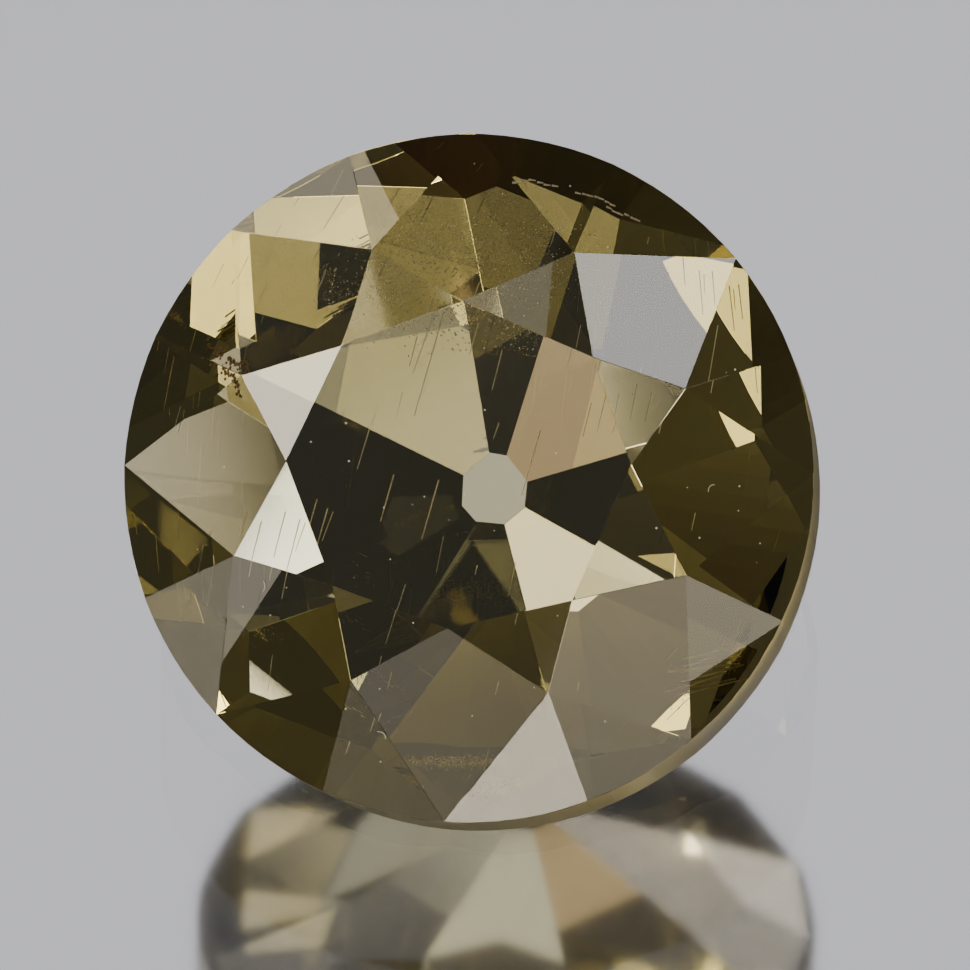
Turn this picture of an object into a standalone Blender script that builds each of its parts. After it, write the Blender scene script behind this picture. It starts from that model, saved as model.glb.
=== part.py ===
"""A round brilliant cut diaspore, lying on one main facet of its pavilion.

The stone is one solid. It is made as a cutter makes it: a round blank is
ground away facet by facet. Lengths are metres, angles are degrees, and +Z
points up. Facets are first placed in the stone's own frame, where +Z is the
axis through the table, z = 0 is the upper edge of the girdle and azimuth 0
is the stone's right side. The finished stone is then tipped until its
resting facet lies flat on the plane z = 0, with the table facing -Y.
"""
import math

import bmesh
import bpy
from mathutils import Matrix, Vector

# Size of the whole stone
GIRDLE_DIAMETER = 0.0065
GIRDLE_THICKNESS = 0.00160
GIRDLE_SEGMENTS = 96
SYMMETRY = 8

# Crown: each kite has a turn away from the even spacing and a slope
CROWN_HEIGHT = 0.00111
STAR_MEET_HEIGHT = 0.00078
KITE_TURNS = (2.5, -3.75, 1.0, 1.0, 0.0, 0.5, -1.5, -2.5)
KITE_SLOPES = (34.0, 34.0, 33.0, 33.5, 34.0, 34.0, 32.5, 34.5)

# Belly: a narrow steep band of facets under the girdle
BELLY_RADIUS = 0.00318
BELLY_DROP = 0.00019

# Pavilion: the halves run in to where two mains meet, the mains on to a culet off the axis
PAVILION_TURN = -3.0
HALF_DROP = 0.00072
MAIN_DROP = 0.00079
MAIN_TURNS = (-0.5, -1.5, -4.5, 1.5, 2.5, 2.0, -0.5, -0.5)
MAIN_SLOPES = (25.0, 25.5, 22.0, 24.5, 24.5, 23.0, 24.0, 24.5)
CULET_OFFSET = (0.00015, 0.0)
CULET_FACET_DEPTH = 0.00014

# Pose on the ground: the main that the stone lies on
RESTING_MAIN = 6

# How far a cut may miss a vertex, and how near two vertices are made one
CUT_TOLERANCE = 1.0e-8
WELD_DISTANCE = 1.0e-5

COLLECTION_NAME = "cut_diaspore"
STONE_NAME = "diaspore_gem"
STONE_COLOR = (0.60, 0.56, 0.38, 1.0)
STONE_IOR = 1.70

GIRDLE_RADIUS = GIRDLE_DIAMETER / 2
BELLY_FLOOR = -GIRDLE_THICKNESS - BELLY_DROP
HALF_FLOOR = BELLY_FLOOR - HALF_DROP
CULET_HEIGHT = HALF_FLOOR - MAIN_DROP
STEP = 360.0 / SYMMETRY
INSIDE = Vector((0.0, 0.0, -GIRDLE_THICKNESS / 2))
DOWN = Vector((0.0, 0.0, -1.0))


def clear_scene():
    """Remove every object that the file starts with."""
    for item in list(bpy.data.objects):
        bpy.data.objects.remove(item, do_unlink=True)


def polar(azimuth, radius, height):
    """Point at an azimuth, a distance from the axis and a height."""
    angle = math.radians(azimuth)
    return Vector((radius * math.cos(angle), radius * math.sin(angle), height))


def sloped(azimuth, slope, side):
    """Outward normal of a facet; side is +1 on the crown and -1 on the pavilion."""
    lean = math.radians(slope)
    return polar(azimuth, math.sin(lean), side * math.cos(lean))


def level(height):
    """Horizontal plane at a height, as a point and a normal."""
    return Vector((0.0, 0.0, height)), Vector((0.0, 0.0, 1.0))


def plane_through(first, second, third):
    """Facet plane through three points, as a point and an outward normal."""
    normal = (second - first).cross(third - first).normalized()
    if normal.dot(INSIDE - first) > 0.0:
        normal.negate()
    return first, normal


def meet(*planes):
    """Point where three facet planes meet."""
    rows = Matrix([normal for point, normal in planes])
    return rows.inverted() @ Vector([normal.dot(point) for point, normal in planes])


def crown_facets():
    """Table, kites, stars and upper girdle facets."""
    kites = []
    table_corners = []
    girdle_points = []
    for index in range(SYMMETRY):
        azimuth = index * STEP + KITE_TURNS[index]
        slope = KITE_SLOPES[index]
        inset = CROWN_HEIGHT / math.tan(math.radians(slope))
        girdle_points.append(polar(azimuth, GIRDLE_RADIUS, 0.0))
        table_corners.append(polar(azimuth, GIRDLE_RADIUS - inset, CROWN_HEIGHT))
        kites.append((girdle_points[index], sloped(azimuth, slope, 1)))
    facets = [level(CROWN_HEIGHT)] + kites
    for index in range(SYMMETRY):
        after = (index + 1) % SYMMETRY
        between = polar((index + 0.5) * STEP, GIRDLE_RADIUS, 0.0)
        star_meet = meet(kites[index], kites[after], level(STAR_MEET_HEIGHT))
        facets.append(plane_through(table_corners[index], table_corners[after], star_meet))
        facets.append(plane_through(star_meet, girdle_points[index], between))
        facets.append(plane_through(star_meet, between, girdle_points[after]))
    return facets


def main_facets():
    """Pavilion mains, which all pass through the culet point."""
    culet = Vector((*CULET_OFFSET, CULET_HEIGHT))
    mains = []
    for index in range(SYMMETRY):
        azimuth = index * STEP + PAVILION_TURN + MAIN_TURNS[index]
        mains.append((culet, sloped(azimuth, MAIN_SLOPES[index], -1)))
    return mains


def belly_point(index):
    """Point on the lower rim of the belly, a sixteenth of a turn from the next."""
    return polar(index * STEP / 2 + PAVILION_TURN, BELLY_RADIUS, BELLY_FLOOR)


def belly_facets():
    """Narrow facets that slope in from the lower edge of the girdle."""
    facets = []
    for index in range(2 * SYMMETRY):
        azimuth = (index + 0.5) * STEP / 2 + PAVILION_TURN
        edge = polar(azimuth, GIRDLE_RADIUS, -GIRDLE_THICKNESS)
        facets.append(plane_through(edge, belly_point(index), belly_point(index + 1)))
    return facets


def pavilion_facets():
    """Belly, mains, halves and the small flat culet."""
    mains = main_facets()
    facets = belly_facets() + mains
    for index in range(SYMMETRY):
        after = (index + 1) % SYMMETRY
        half_meet = meet(mains[index], mains[after], level(HALF_FLOOR))
        near = belly_point(2 * index)
        between = belly_point(2 * index + 1)
        far = belly_point(2 * index + 2)
        facets.append(plane_through(half_meet, near, between))
        facets.append(plane_through(half_meet, between, far))
    facets.append((Vector((0.0, 0.0, CULET_HEIGHT + CULET_FACET_DEPTH)), DOWN))
    return facets


def blank():
    """Round blank, taller than the finished stone."""
    stone = bmesh.new()
    bmesh.ops.create_cone(
        stone,
        cap_ends=True,
        segments=GIRDLE_SEGMENTS,
        radius1=GIRDLE_RADIUS,
        radius2=GIRDLE_RADIUS,
        depth=2 * GIRDLE_DIAMETER,
    )
    return stone


def cut(stone, plane):
    """Grind away all that lies outside a facet plane and close the cut."""
    point, normal = plane
    result = bmesh.ops.bisect_plane(
        stone,
        geom=stone.verts[:] + stone.edges[:] + stone.faces[:],
        dist=CUT_TOLERANCE,
        plane_co=point,
        plane_no=normal,
        clear_outer=True,
    )
    cut_edges = [item for item in result["geom_cut"] if isinstance(item, bmesh.types.BMEdge)]
    open_edges = [edge for edge in cut_edges if edge.is_boundary]
    if open_edges:
        bmesh.ops.contextual_create(stone, geom=open_edges)


def resting_pose():
    """Rotation that lays the resting main on the ground and keeps the table facing -Y."""
    normal = main_facets()[RESTING_MAIN][1]
    turn = Matrix.Rotation(math.radians(-90.0) - math.atan2(normal.y, normal.x), 3, "Z")
    tip = (turn @ normal).rotation_difference(DOWN).to_matrix()
    return tip @ turn


def make_material():
    """Pale olive yellow transparent stone."""
    material = bpy.data.materials.new("diaspore")
    material.use_nodes = True
    shader = material.node_tree.nodes["Principled BSDF"]
    shader.inputs["Base Color"].default_value = STONE_COLOR
    shader.inputs["Roughness"].default_value = 0.02
    shader.inputs["Metallic"].default_value = 0.0
    shader.inputs["IOR"].default_value = STONE_IOR
    shader.inputs["Transmission Weight"].default_value = 1.0
    return material


def make_stone():
    """The cut stone, lying on the ground with its origin under its middle."""
    stone = blank()
    for plane in crown_facets() + pavilion_facets():
        cut(stone, plane)
    bmesh.ops.remove_doubles(stone, verts=stone.verts[:], dist=WELD_DISTANCE)
    bmesh.ops.rotate(stone, verts=stone.verts[:], cent=INSIDE, matrix=resting_pose())
    xs = [vertex.co.x for vertex in stone.verts]
    ys = [vertex.co.y for vertex in stone.verts]
    zs = [vertex.co.z for vertex in stone.verts]
    shift = Vector((-(min(xs) + max(xs)) / 2, -(min(ys) + max(ys)) / 2, -min(zs)))
    bmesh.ops.translate(stone, verts=stone.verts[:], vec=shift)
    bmesh.ops.recalc_face_normals(stone, faces=stone.faces[:])
    mesh = bpy.data.meshes.new(STONE_NAME)
    stone.to_mesh(mesh)
    stone.free()
    mesh.materials.append(make_material())
    return bpy.data.objects.new(STONE_NAME, mesh)


def main():
    """Build the stone in a collection of its own."""
    clear_scene()
    collection = bpy.data.collections.new(COLLECTION_NAME)
    bpy.context.scene.collection.children.link(collection)
    collection.objects.link(make_stone())


main()
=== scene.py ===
"""A round brilliant cut diaspore on a polished pale floor, as a Blender add-on."""

import math
import random

import bmesh
import bpy
from bpy.props import FloatProperty, FloatVectorProperty, IntProperty, PointerProperty
from mathutils import Euler, Matrix, Vector
from mathutils.bvhtree import BVHTree


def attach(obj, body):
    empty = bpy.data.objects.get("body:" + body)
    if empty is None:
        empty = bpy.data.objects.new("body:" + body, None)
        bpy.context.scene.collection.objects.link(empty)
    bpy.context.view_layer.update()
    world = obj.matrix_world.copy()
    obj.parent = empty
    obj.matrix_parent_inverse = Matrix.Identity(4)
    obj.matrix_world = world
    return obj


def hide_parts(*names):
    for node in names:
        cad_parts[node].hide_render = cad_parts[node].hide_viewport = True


bl_info = {
    "name": "Cut Diaspore",
    "version": (1, 0, 0),
    "blender": (4, 5, 0),
    "location": "View3D > Sidebar > Cut Diaspore",
    "description": "Dresses a cut diaspore gemstone and sets its stage",
    "category": "Object",
}

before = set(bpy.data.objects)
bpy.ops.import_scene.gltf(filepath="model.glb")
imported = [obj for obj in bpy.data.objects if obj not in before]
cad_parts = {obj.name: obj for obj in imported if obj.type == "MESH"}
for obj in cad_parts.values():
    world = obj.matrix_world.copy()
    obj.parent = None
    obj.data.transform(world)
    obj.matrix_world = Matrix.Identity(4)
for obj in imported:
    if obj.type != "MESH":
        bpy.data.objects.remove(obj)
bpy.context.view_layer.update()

MM = 0.001

# The stone's own frame: +Z through the table, z = 0 at the upper edge of the girdle
STONE_LEAN = 24.0
STONE_TURN = 3.5
STONE_ORIGIN = (0.0, -0.345, 3.011)

# Facet angles that tell the girdle from the facets, and a facet edge from a flat seam
SEAM_ANGLE = 0.6
EDGE_ANGLE = 4.5
GIRDLE_LEAN = 0.1

# Vertices nearer than this are made one
WELD_DISTANCE = 0.00005 * MM


def stone_matrix():
    """Matrix from the stone's own frame, in millimetres, to the row frame in metres."""
    lean = Matrix.Rotation(math.radians(STONE_LEAN), 4, "X")
    turn = Matrix.Rotation(math.radians(STONE_TURN), 4, "Z")
    place = Matrix.Translation(Vector(STONE_ORIGIN) * MM)
    return place @ lean @ turn @ Matrix.Scale(MM, 4)


class StoneSettings(bpy.types.PropertyGroup):
    """Edges, colour and polish of the stone."""

    edge_width: FloatProperty(
        name="Edge Width",
        description="Width of the worn line along each facet edge",
        default=0.012 * MM,
        precision=6,
        unit="LENGTH",
    )
    refraction: FloatProperty(name="Refraction", description="Index of refraction", default=1.67)
    absorption: FloatProperty(
        name="Absorption",
        description="Density of the colour inside the stone, per metre",
        default=160.0,
    )
    body_color: FloatVectorProperty(
        name="Body Colour",
        description="Colour that light takes on its way through the stone",
        subtype="COLOR",
        size=4,
        default=(0.85, 0.75, 0.0, 1.0),
    )
    streak_roughness: FloatProperty(
        name="Streak Roughness",
        description="Roughness of the streaks that polishing left",
        default=0.05,
        subtype="FACTOR",
    )
    girdle_color: FloatVectorProperty(
        name="Girdle Colour",
        description="Colour of the unpolished girdle",
        subtype="COLOR",
        size=4,
        default=(0.95, 0.93, 0.90, 1.0),
    )
    girdle_roughness: FloatProperty(
        name="Girdle Roughness",
        description="Roughness of the unpolished girdle",
        default=0.45,
        subtype="FACTOR",
    )


class InclusionSettings(bpy.types.PropertyGroup):
    """What grew or broke inside the stone."""

    needle_radius: FloatProperty(
        name="Needle Radius",
        description="Radius of the growth needles",
        default=0.007 * MM,
        precision=6,
        unit="LENGTH",
    )
    needle_color: FloatVectorProperty(
        name="Needle Colour",
        description="Colour of the growth needles",
        subtype="COLOR",
        size=4,
        default=(0.86, 0.82, 0.70, 1.0),
    )
    stray_needles: IntProperty(
        name="Stray Needles",
        description="How many small needles lie scattered through the stone",
        default=26,
    )
    grain_count: IntProperty(
        name="Grains",
        description="How many grains make the veil under the table",
        default=900,
    )
    grain_radius: FloatProperty(
        name="Grain Radius",
        description="Radius of the largest grains of the veil",
        default=0.011 * MM,
        precision=6,
        unit="LENGTH",
    )
    feather_color: FloatVectorProperty(
        name="Feather Colour",
        description="Colour of the stained feather near the girdle",
        subtype="COLOR",
        size=4,
        default=(0.30, 0.17, 0.07, 1.0),
    )
    strand_color: FloatVectorProperty(
        name="Strand Colour",
        description="Colour of the strands near the lower right edge",
        subtype="COLOR",
        size=4,
        default=(0.42, 0.36, 0.08, 1.0),
    )


class DustSettings(bpy.types.PropertyGroup):
    """What lies on top of the stone."""

    speck_count: IntProperty(
        name="Specks",
        description="How many specks of dust lie on the stone",
        default=70,
    )
    speck_radius: FloatProperty(
        name="Speck Radius",
        description="Radius of the largest specks",
        default=0.010 * MM,
        precision=6,
        unit="LENGTH",
    )
    curl_radius: FloatProperty(
        name="Curl Radius",
        description="Radius of the curls of lint",
        default=0.07 * MM,
        precision=6,
        unit="LENGTH",
    )
    dust_color: FloatVectorProperty(
        name="Dust Colour",
        description="Colour of dust and lint",
        subtype="COLOR",
        size=4,
        default=(0.85, 0.83, 0.78, 1.0),
    )


class StageSettings(bpy.types.PropertyGroup):
    """Floor, light and camera."""

    floor_color: FloatVectorProperty(
        name="Floor Colour",
        description="Colour of the polished floor",
        subtype="COLOR",
        size=4,
        default=(0.66, 0.66, 0.69, 1.0),
    )
    floor_roughness: FloatProperty(
        name="Floor Roughness",
        description="Roughness of the polished floor",
        default=0.06,
        subtype="FACTOR",
    )
    floor_size: FloatProperty(
        name="Floor Size",
        description="Length of one side of the floor",
        default=1.2,
        unit="LENGTH",
    )
    sheet_depth: FloatProperty(
        name="Sheet Depth",
        description="Thickness of the clear sheet over the mirror",
        default=5.0 * MM,
        precision=5,
        unit="LENGTH",
    )
    ambient: FloatProperty(
        name="Ambient Light",
        description="Strength of the even light from all around",
        default=0.04,
    )
    lens: FloatProperty(
        name="Lens",
        description="Focal length of the camera in millimetres",
        default=326.0,
    )


def new_material(name):
    """Material with a bare Principled shader; returns it with its nodes, links and shader."""
    material = bpy.data.materials.new(name)
    material.use_nodes = True
    nodes = material.node_tree.nodes
    return material, nodes, material.node_tree.links, nodes["Principled BSDF"]


def wear_group():
    """Node group for fine wear: streaks left by polishing and grains left by grinding."""
    group = bpy.data.node_groups.new("Fine Wear", "ShaderNodeTree")
    sockets = group.interface
    sockets.new_socket(name="Scale", in_out="INPUT", socket_type="NodeSocketFloat")
    sockets.new_socket(name="Threshold", in_out="INPUT", socket_type="NodeSocketFloat")
    sockets.new_socket(name="Streaks", in_out="OUTPUT", socket_type="NodeSocketFloat")
    sockets.new_socket(name="Grains", in_out="OUTPUT", socket_type="NodeSocketFloat")
    nodes, links = group.nodes, group.links
    enter = nodes.new("NodeGroupInput")
    leave = nodes.new("NodeGroupOutput")
    place = nodes.new("ShaderNodeTexCoord")
    stretch = nodes.new("ShaderNodeMapping")
    stretch.inputs["Rotation"].default_value = (0.5, 0.3, 0.9)
    stretch.inputs["Scale"].default_value = (12.0, 1.0, 0.4)
    streaks = nodes.new("ShaderNodeTexNoise")
    streaks.inputs["Detail"].default_value = 2.0
    above = nodes.new("ShaderNodeMapRange")
    above.inputs["From Max"].default_value = 0.8
    grains = nodes.new("ShaderNodeTexNoise")
    grains.inputs["Detail"].default_value = 4.0
    links.new(place.outputs["Object"], stretch.inputs["Vector"])
    links.new(stretch.outputs["Vector"], streaks.inputs["Vector"])
    links.new(enter.outputs["Scale"], streaks.inputs["Scale"])
    links.new(streaks.outputs["Fac"], above.inputs["Value"])
    links.new(enter.outputs["Threshold"], above.inputs["From Min"])
    links.new(above.outputs["Result"], leave.inputs["Streaks"])
    links.new(place.outputs["Object"], grains.inputs["Vector"])
    links.new(enter.outputs["Scale"], grains.inputs["Scale"])
    links.new(grains.outputs["Fac"], leave.inputs["Grains"])
    return group


def add_wear(nodes, scale, threshold):
    """Fine wear node in a material."""
    wear = nodes.new("ShaderNodeGroup")
    wear.node_tree = bpy.data.node_groups.get("Fine Wear") or wear_group()
    wear.inputs["Scale"].default_value = scale
    wear.inputs["Threshold"].default_value = threshold
    return wear


def stone_material(name, settings):
    """Clear stone that takes its colour from the depth of stone that light crosses."""
    material, nodes, links, shader = new_material(name)
    shader.inputs["IOR"].default_value = settings.refraction
    shader.inputs["Transmission Weight"].default_value = 1.0
    body = nodes.new("ShaderNodeVolumeAbsorption")
    body.inputs["Color"].default_value = settings.body_color
    body.inputs["Density"].default_value = settings.absorption
    links.new(body.outputs["Volume"], nodes["Material Output"].inputs["Volume"])
    return material, nodes, links, shader


def polished_material(settings):
    """Polished facets with faint streaks."""
    material, nodes, links, shader = stone_material("polished_diaspore", settings)
    shader.inputs["Base Color"].default_value = (1.0, 1.0, 1.0, 1.0)
    wear = add_wear(nodes, 3000.0, 0.66)
    fade = nodes.new("ShaderNodeMath")
    fade.operation = "MULTIPLY"
    fade.inputs[1].default_value = settings.streak_roughness
    links.new(wear.outputs["Streaks"], fade.inputs[0])
    links.new(fade.outputs["Value"], shader.inputs["Roughness"])
    return material


def girdle_material(settings):
    """Ground, unpolished girdle."""
    material, nodes, links, shader = stone_material("ground_girdle", settings)
    shader.inputs["Base Color"].default_value = settings.girdle_color
    shader.inputs["Roughness"].default_value = settings.girdle_roughness
    wear = add_wear(nodes, 12000.0, 0.5)
    bump = nodes.new("ShaderNodeBump")
    bump.inputs["Strength"].default_value = 0.25
    bump.inputs["Distance"].default_value = 0.006 * MM
    links.new(wear.outputs["Grains"], bump.inputs["Height"])
    links.new(bump.outputs["Normal"], shader.inputs["Normal"])
    return material


def finish_piece(name, mesh, materials):
    """Object for a finished mesh, which stands at the origin and rides on the stone's body."""
    for material in materials:
        mesh.materials.append(material)
    piece = bpy.data.objects.new(name, mesh)
    bpy.context.scene.collection.objects.link(piece)
    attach(piece, "root")
    return piece


class STONE_OT_cut(bpy.types.Operator):
    """Make the cut stone with worn edges and an unpolished girdle"""

    bl_idname = "diaspore.cut_stone"
    bl_label = "Cut Stone"

    def execute(self, context):
        settings = context.scene.diaspore_stone
        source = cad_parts["diaspore_gem"]
        stone = bmesh.new()
        stone.from_mesh(source.data)
        bmesh.ops.remove_doubles(stone, verts=stone.verts[:], dist=WELD_DISTANCE)
        bmesh.ops.dissolve_limit(
            stone,
            angle_limit=math.radians(SEAM_ANGLE),
            verts=stone.verts[:],
            edges=stone.edges[:],
        )
        axis = stone_matrix().to_3x3().normalized().col[2]
        for face in stone.faces:
            face.smooth = False
            face.material_index = 1 if abs(face.normal.dot(axis)) < GIRDLE_LEAN else 0
        least = math.radians(EDGE_ANGLE)
        sharp = [edge for edge in stone.edges if edge.calc_face_angle(0.0) > least]
        bmesh.ops.bevel(
            stone,
            geom=sharp,
            offset=settings.edge_width / 2,
            offset_type="WIDTH",
            affect="EDGES",
            segments=1,
            profile=0.5,
            material=-1,
            clamp_overlap=True,
        )
        bmesh.ops.recalc_face_normals(stone, faces=stone.faces[:])
        mesh = bpy.data.meshes.new("cut_stone")
        stone.to_mesh(mesh)
        stone.free()
        materials = [polished_material(settings), girdle_material(settings)]
        piece = finish_piece("cut_stone", mesh, materials)
        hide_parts("diaspore_gem")
        return {"FINISHED"}


def speckle_group():
    """Node group that makes two tones and a grain of matter inside or on the stone."""
    group = bpy.data.node_groups.new("Speckle", "ShaderNodeTree")
    sockets = group.interface
    sockets.new_socket(name="Color", in_out="INPUT", socket_type="NodeSocketColor")
    sockets.new_socket(name="Dark", in_out="INPUT", socket_type="NodeSocketColor")
    sockets.new_socket(name="Scale", in_out="INPUT", socket_type="NodeSocketFloat")
    sockets.new_socket(name="Color", in_out="OUTPUT", socket_type="NodeSocketColor")
    sockets.new_socket(name="Height", in_out="OUTPUT", socket_type="NodeSocketFloat")
    nodes, links = group.nodes, group.links
    enter = nodes.new("NodeGroupInput")
    leave = nodes.new("NodeGroupOutput")
    place = nodes.new("ShaderNodeTexCoord")
    noise = nodes.new("ShaderNodeTexNoise")
    noise.inputs["Detail"].default_value = 3.0
    mix = nodes.new("ShaderNodeMix")
    mix.data_type = "RGBA"
    links.new(place.outputs["Object"], noise.inputs["Vector"])
    links.new(enter.outputs["Scale"], noise.inputs["Scale"])
    links.new(noise.outputs["Fac"], mix.inputs["Factor"])
    links.new(enter.outputs["Dark"], mix.inputs["A"])
    links.new(enter.outputs["Color"], mix.inputs["B"])
    links.new(mix.outputs["Result"], leave.inputs["Color"])
    links.new(noise.outputs["Fac"], leave.inputs["Height"])
    return group


def matter_material(name, color, dark, scale, roughness, alpha):
    """Speckled matter, partly see-through where alpha is under one."""
    material, nodes, links, shader = new_material(name)
    speckle = nodes.new("ShaderNodeGroup")
    speckle.node_tree = bpy.data.node_groups.get("Speckle") or speckle_group()
    speckle.inputs["Color"].default_value = color
    speckle.inputs["Dark"].default_value = dark
    speckle.inputs["Scale"].default_value = scale
    bump = nodes.new("ShaderNodeBump")
    bump.inputs["Strength"].default_value = 0.3
    bump.inputs["Distance"].default_value = 0.005 * MM
    links.new(speckle.outputs["Color"], shader.inputs["Base Color"])
    links.new(speckle.outputs["Height"], bump.inputs["Height"])
    links.new(bump.outputs["Normal"], shader.inputs["Normal"])
    shader.inputs["Roughness"].default_value = roughness
    shader.inputs["Alpha"].default_value = alpha
    return material


def add_rod(mesh, start, end, radius, sides=6):
    """Closed rod between two points, in millimetres of the stone's own frame."""
    start, end = Vector(start), Vector(end)
    along = end - start
    place = Matrix.Translation((start + end) / 2) @ along.to_track_quat("Z", "Y").to_matrix().to_4x4()
    bmesh.ops.create_cone(
        mesh,
        cap_ends=True,
        segments=sides,
        radius1=radius,
        radius2=radius * 0.6,
        depth=along.length,
        matrix=place,
    )


def add_grain(mesh, place, radius, flatten=1.0):
    """Small round grain, in millimetres of the stone's own frame."""
    shape = Matrix.Diagonal((radius, radius, radius * flatten, 1.0))
    bmesh.ops.create_icosphere(
        mesh, subdivisions=1, radius=1.0, matrix=Matrix.Translation(Vector(place)) @ shape
    )


def grown_piece(name, grown, materials):
    """Turn a mesh in the stone's own frame into a finished piece of the scene."""
    bmesh.ops.transform(grown, matrix=stone_matrix(), verts=grown.verts[:])
    bmesh.ops.recalc_face_normals(grown, faces=grown.faces[:])
    mesh = bpy.data.meshes.new(name)
    grown.to_mesh(mesh)
    grown.free()
    return finish_piece(name, mesh, materials)


# Upper end of each long needle, and its length, in millimetres of the stone's own frame
NEEDLES = (
    ((-0.27, 1.50, -0.3), 1.00),
    ((0.05, 1.45, -0.6), 0.32),
    ((-0.70, 0.00, -0.8), 0.46),
    ((-0.26, -0.05, -0.5), 0.58),
    ((0.66, 0.47, -0.9), 0.64),
    ((2.16, 1.42, -0.2), 0.64),
    ((1.42, 0.75, -0.7), 0.30),
    ((-1.26, 2.80, -0.2), 0.30),
    ((-1.30, -0.35, -0.6), 0.60),
    ((-1.42, -0.25, -0.9), 0.45),
    ((-1.70, -0.40, -0.5), 0.38),
)
NEEDLE_RUN = Vector((-0.24, -0.96, -0.12))
STRAY_REACH = 2.6
STRAY_FLOOR = -1.6


class STONE_OT_needles(bpy.types.Operator):
    """Grow the fine needles, nearly parallel, inside the stone"""

    bl_idname = "diaspore.needles"
    bl_label = "Needles"

    def execute(self, context):
        settings = context.scene.diaspore_inclusions
        radius = settings.needle_radius / MM
        chance = random.Random(5)
        grown = bmesh.new()
        for start, length in NEEDLES:
            add_rod(grown, start, Vector(start) + NEEDLE_RUN * length, radius)
        for count in range(settings.stray_needles):
            around = chance.uniform(0.0, 2 * math.pi)
            away = STRAY_REACH * math.sqrt(chance.random())
            depth = chance.uniform(STRAY_FLOOR, -0.1)
            start = Vector((away * math.cos(around), away * math.sin(around), depth))
            lean = Vector((chance.gauss(0.0, 0.05), 0.0, chance.gauss(0.0, 0.05)))
            run = (NEEDLE_RUN + lean) * chance.uniform(0.08, 0.4)
            add_rod(grown, start, start + run, radius * chance.uniform(0.5, 0.9))
        color = settings.needle_color
        dark = (0.45, 0.38, 0.25, 1.0)
        material = matter_material("needle", color, dark, 9000.0, 0.35, 0.75)
        grown_piece("growth_needles", grown, [material])
        return {"FINISHED"}


# Middle of the veil and how far it spreads along and across
VEIL_MIDDLE = Vector((-0.10, 1.70, -0.60))
VEIL_ALONG = Vector((1.0, 0.15, 0.0))
VEIL_ACROSS = Vector((0.0, 0.50, 0.25))


class STONE_OT_veil(bpy.types.Operator):
    """Scatter the grains of the veil under the upper part of the table"""

    bl_idname = "diaspore.veil"
    bl_label = "Grain Veil"

    def execute(self, context):
        settings = context.scene.diaspore_inclusions
        chance = random.Random(9)
        grown = bmesh.new()
        for count in range(settings.grain_count):
            along = max(-1.0, min(1.0, chance.gauss(0.0, 0.45)))
            across = max(-1.0, min(1.0, chance.gauss(0.0, 0.45)))
            place = VEIL_MIDDLE + VEIL_ALONG * along + VEIL_ACROSS * across
            place.z += chance.gauss(0.0, 0.04)
            size = settings.grain_radius / MM * chance.uniform(0.3, 1.0)
            add_grain(grown, place, size)
        light = (0.92, 0.88, 0.74, 1.0)
        dark = (0.40, 0.34, 0.22, 1.0)
        material = matter_material("veil_grain", light, dark, 30000.0, 0.4, 0.8)
        grown_piece("grain_veil", grown, [material])
        return {"FINISHED"}


# Ends of the feather, runs of the crack and first end of the strands
FEATHER_START = Vector((-2.33, 1.04, -0.30))
FEATHER_END = Vector((-1.85, 0.70, -0.30))
CRACK_RUNS = (
    ((0.32, 2.72, 0.0), (0.74, 2.68, 0.0)),
    ((0.90, 2.62, 0.0), (1.25, 2.54, 0.0)),
    ((1.15, 2.50, 0.0), (1.50, 2.38, 0.0)),
)
CRACK_PARTS = 6
STRAND_START = Vector((1.85, -1.50, -0.40))
STRAND_STEP = Vector((0.0, -0.035, 0.0))


class STONE_OT_feather(bpy.types.Operator):
    """Make the stained feather, the bright crack and the strands near the girdle"""

    bl_idname = "diaspore.feather"
    bl_label = "Feather, Crack And Strands"

    def execute(self, context):
        settings = context.scene.diaspore_inclusions
        chance = random.Random(3)
        feather = bmesh.new()
        for count in range(60):
            place = FEATHER_START.lerp(FEATHER_END, chance.random())
            place += Vector((0.0, chance.gauss(0.0, 0.035), chance.gauss(0.0, 0.05)))
            add_grain(feather, place, chance.uniform(0.006, 0.024), 0.5)
        stain = settings.feather_color
        brown = (0.12, 0.06, 0.02, 1.0)
        materials = [matter_material("stained_feather", stain, brown, 12000.0, 0.5, 0.8)]
        grown_piece("stained_feather", feather, materials)

        crack = bmesh.new()
        for first, last in CRACK_RUNS:
            first, last = Vector(first), Vector(last)
            for count in range(CRACK_PARTS):
                start = first.lerp(last, count / CRACK_PARTS + chance.uniform(-0.02, 0.02))
                end = first.lerp(last, (count + 0.9) / CRACK_PARTS)
                lift = Vector((0.0, chance.gauss(0.0, 0.012), chance.gauss(0.0, 0.02)))
                add_rod(crack, start + lift, end + lift, 0.014, 5)
        white = (0.92, 0.95, 0.96, 1.0)
        pale = (0.80, 0.62, 0.45, 1.0)
        materials = [matter_material("bright_crack", white, pale, 6000.0, 0.15, 0.9)]
        grown_piece("bright_crack", crack, materials)

        strands = bmesh.new()
        for count in range(11):
            start = STRAND_START + STRAND_STEP * count
            start += Vector((chance.uniform(-0.05, 0.15), 0.0, chance.gauss(0.0, 0.05)))
            end = start + Vector((chance.uniform(0.35, 0.75), chance.uniform(0.02, 0.16), 0.0))
            add_rod(strands, start, end, chance.uniform(0.006, 0.016), 5)
        olive = settings.strand_color
        umber = (0.16, 0.10, 0.03, 1.0)
        materials = [matter_material("olive_strand", olive, umber, 9000.0, 0.3, 0.8)]
        grown_piece("olive_strands", strands, materials)
        return {"FINISHED"}


def stone_surface():
    """Search tree over the stone's solid, in the row frame."""
    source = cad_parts["diaspore_gem"]
    skin = bmesh.new()
    skin.from_mesh(source.data)
    tree = BVHTree.FromBMesh(skin)
    skin.free()
    return tree


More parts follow.
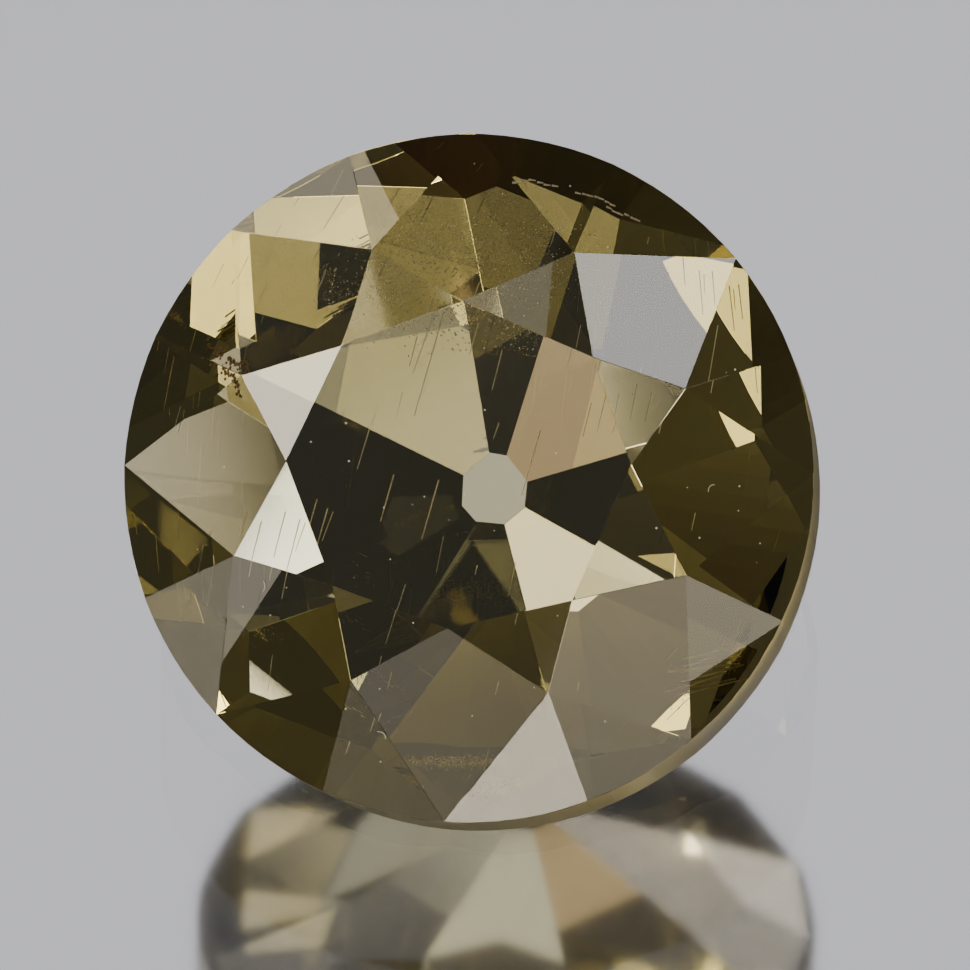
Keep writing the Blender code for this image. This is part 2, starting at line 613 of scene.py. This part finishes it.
def on_stone(tree, right, up):
    """Point on the stone over a place in its own frame, and the facet's outward direction."""
    place = stone_matrix()
    above = place @ Vector((right, up, 5.0))
    down = (place.to_3x3() @ Vector((0.0, 0.0, -1.0))).normalized()
    hit, normal, index, distance = tree.ray_cast(above, down)
    inverse = place.inverted()
    out = (inverse.to_3x3() @ normal).normalized()
    return inverse @ hit, out


# Places of the curls of lint, and how far out from the middle the specks lie
CURLS = ((-1.85, -1.15), (-0.68, -2.50), (2.35, -0.10))
SPECK_REACH = 3.0
CURL_STEP = 15.0


class STONE_OT_dust(bpy.types.Operator):
    """Lay specks of dust and curls of lint on the stone"""

    bl_idname = "diaspore.dust"
    bl_label = "Dust And Lint"

    def execute(self, context):
        settings = context.scene.diaspore_dust
        tree = stone_surface()
        chance = random.Random(21)
        dust = bmesh.new()
        for count in range(settings.speck_count):
            around = chance.uniform(0.0, 2 * math.pi)
            away = SPECK_REACH * math.sqrt(chance.random())
            spot, out = on_stone(tree, away * math.cos(around), away * math.sin(around))
            size = settings.speck_radius / MM * chance.uniform(0.3, 1.0)
            add_grain(dust, spot + out * size * 0.3, size, 0.6)
        for right, up in CURLS:
            spot, out = on_stone(tree, right, up)
            radius = settings.curl_radius / MM * chance.uniform(0.7, 1.3)
            flat = out.to_track_quat("Z", "Y").to_matrix().to_4x4()
            place = Matrix.Translation(spot + out * 0.012) @ flat
            start = place @ Vector((radius, 0.0, 0.0))
            for step in range(1, chance.randint(6, 10)):
                angle = math.radians(CURL_STEP * step)
                reach = radius * (1.0 + 0.05 * step)
                end = place @ Vector((reach * math.cos(angle), reach * math.sin(angle), 0.0))
                add_rod(dust, start, end, 0.003, 5)
                start = end
        grey = (0.55, 0.52, 0.46, 1.0)
        material = matter_material("dust", settings.dust_color, grey, 20000.0, 0.8, 1.0)
        grown_piece("surface_dust", dust, [material])
        return {"FINISHED"}


# Lights stand round the stone at one distance and face its middle
LIGHT_DISTANCE = 0.3
STONE_MIDDLE = Vector((0.0, 0.0, 2.5 * MM))

# Colours of the lights
WARM = (1.0, 0.90, 0.70)
COOL = (0.98, 0.98, 1.0)
PEACH = (1.0, 0.76, 0.56)

# Name, azimuth, elevation, half width and half height at unit distance, radiance, colour
LIGHTS = (
    ("front_spot", 281, 7, 0.20, 0.12, 19.0, WARM),
    ("front_left_low", 259, 7, 0.20, 0.12, 1.0, WARM),
    ("front_right_low", 304, 7, 0.20, 0.12, 1.8, WARM),
    ("right_low", 326, 7, 0.20, 0.12, 2.4, WARM),
    ("front_right", 300, 21, 0.20, 0.12, 5.6, WARM),
    ("left_high", 180, 36, 0.20, 0.14, 11.0, WARM),
    ("left_low", 214, 7, 0.20, 0.12, 2.1, WARM),
    ("right_high", 14, 36, 0.20, 0.14, 0.9, WARM),
    ("right_sheen", 42, 40, 0.06, 0.06, 4.5, COOL),
    ("back_right", 56, 7, 0.20, 0.12, 5.8, WARM),
    ("back_left", 132, 21, 0.20, 0.12, 2.2, WARM),
    ("back_left_high", 125, 36, 0.20, 0.14, 2.2, WARM),
    ("backdrop", 97, 63, 0.17, 0.17, 0.78, COOL),
    ("top_right", 30, 68, 0.20, 0.13, 0.45, COOL),
    ("top_left", 150, 68, 0.18, 0.13, 0.60, PEACH),
)


def add_light(name, azimuth, elevation, half_width, half_height, radiance, color):
    """Soft rectangular light that faces the stone; azimuth 0 is +X and 90 is +Y."""
    width = 2.0 * half_width * LIGHT_DISTANCE
    height = 2.0 * half_height * LIGHT_DISTANCE
    light = bpy.data.lights.new(name, "AREA")
    light.shape = "RECTANGLE"
    light.size = width
    light.size_y = height
    light.energy = 4.0 * width * height * radiance
    light.color = color
    lamp = bpy.data.objects.new(name, light)
    around, up = math.radians(azimuth), math.radians(elevation)
    away = Vector((math.cos(up) * math.cos(around), math.cos(up) * math.sin(around), math.sin(up)))
    lamp.location = STONE_MIDDLE + away * LIGHT_DISTANCE
    lamp.rotation_euler = away.to_track_quat("Z", "Y").to_euler()
    bpy.context.scene.collection.objects.link(lamp)
    return lamp


def clear_sheet_material():
    """Clear colourless sheet."""
    material, nodes, links, shader = new_material("clear_sheet")
    shader.inputs["Base Color"].default_value = (1.0, 1.0, 1.0, 1.0)
    shader.inputs["Roughness"].default_value = 0.0
    shader.inputs["IOR"].default_value = 1.49
    shader.inputs["Transmission Weight"].default_value = 1.0
    return material


def mirror_material(settings):
    """Pale mirror coat on the back of the sheet."""
    material, nodes, links, shader = new_material("pale_mirror")
    shader.inputs["Base Color"].default_value = settings.floor_color
    shader.inputs["Roughness"].default_value = settings.floor_roughness
    shader.inputs["Metallic"].default_value = 1.0
    return material


# Thin film of air that dust leaves between the stone and the sheet
AIR_GAP = 0.02 * MM


def make_floor(settings):
    """Floor: a clear sheet with a pale mirror on its back; the stone lies on its top."""
    side, depth = settings.floor_size, settings.sheet_depth
    sheet = bmesh.new()
    middle = Vector((0.0, 0.0, -depth / 2 - AIR_GAP))
    place = Matrix.Translation(middle) @ Matrix.Diagonal((side, side, depth, 1.0))
    bmesh.ops.create_cube(sheet, size=1.0, matrix=place)
    for face in sheet.faces:
        face.material_index = 1 if face.normal.z < -0.5 else 0
    mesh = bpy.data.meshes.new("floor")
    sheet.to_mesh(mesh)
    sheet.free()
    mesh.materials.append(clear_sheet_material())
    mesh.materials.append(mirror_material(settings))
    floor = bpy.data.objects.new("floor", mesh)
    bpy.context.scene.collection.objects.link(floor)
    return floor


# Camera place in millimetres and its turns in degrees
CAMERA_PLACE = (7.093, -39.655, 75.233)
CAMERA_TURNS = (28.846, 1.605, 7.091)


class STAGE_OT_set(bpy.types.Operator):
    """Set the pale mirror floor, the soft lights and the camera"""

    bl_idname = "diaspore.stage"
    bl_label = "Stage"

    def execute(self, context):
        settings = context.scene.diaspore_stage
        make_floor(settings)
        world = bpy.data.worlds.new("studio")
        world.use_nodes = True
        background = world.node_tree.nodes["Background"]
        background.inputs["Color"].default_value = (0.98, 0.98, 1.0, 1.0)
        background.inputs["Strength"].default_value = settings.ambient
        context.scene.world = world
        for light in LIGHTS:
            add_light(*light)

        camera = bpy.data.cameras.new("camera")
        camera.lens = settings.lens
        camera.sensor_width = 36.0
        camera.clip_start = 0.005
        camera.clip_end = 20.0
        holder = bpy.data.objects.new("camera", camera)
        holder.location = Vector(CAMERA_PLACE) * MM
        holder.rotation_euler = Euler([math.radians(turn) for turn in CAMERA_TURNS], "XYZ")
        context.scene.collection.objects.link(holder)
        context.scene.camera = holder
        return {"FINISHED"}


class VIEW3D_PT_diaspore(bpy.types.Panel):
    """Lists the steps that dress the stone"""

    bl_label = "Cut Diaspore"
    bl_idname = "VIEW3D_PT_cut_diaspore"
    bl_space_type = "VIEW_3D"
    bl_region_type = "UI"
    bl_category = "Cut Diaspore"

    def draw(self, context):
        for step in STEPS:
            self.layout.operator(step.bl_idname)


SETTINGS = (StoneSettings, InclusionSettings, DustSettings, StageSettings)
STEPS = (
    STONE_OT_cut,
    STONE_OT_needles,
    STONE_OT_veil,
    STONE_OT_feather,
    STONE_OT_dust,
    STAGE_OT_set,
)
CLASSES = SETTINGS + STEPS + (VIEW3D_PT_diaspore,)


def register():
    """Register the classes and hang the settings on the scene."""
    for item in CLASSES:
        bpy.utils.register_class(item)
    bpy.types.Scene.diaspore_stone = PointerProperty(type=StoneSettings)
    bpy.types.Scene.diaspore_inclusions = PointerProperty(type=InclusionSettings)
    bpy.types.Scene.diaspore_dust = PointerProperty(type=DustSettings)
    bpy.types.Scene.diaspore_stage = PointerProperty(type=StageSettings)


def unregister():
    """Remove the settings and the classes."""
    del bpy.types.Scene.diaspore_stage
    del bpy.types.Scene.diaspore_dust
    del bpy.types.Scene.diaspore_inclusions
    del bpy.types.Scene.diaspore_stone
    for item in reversed(CLASSES):
        bpy.utils.unregister_class(item)


def main():
    """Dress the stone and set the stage."""
    register()
    bpy.ops.diaspore.cut_stone()
    bpy.ops.diaspore.needles()
    bpy.ops.diaspore.veil()
    bpy.ops.diaspore.feather()
    bpy.ops.diaspore.dust()
    bpy.ops.diaspore.stage()


if __name__ == "__main__":
    main()
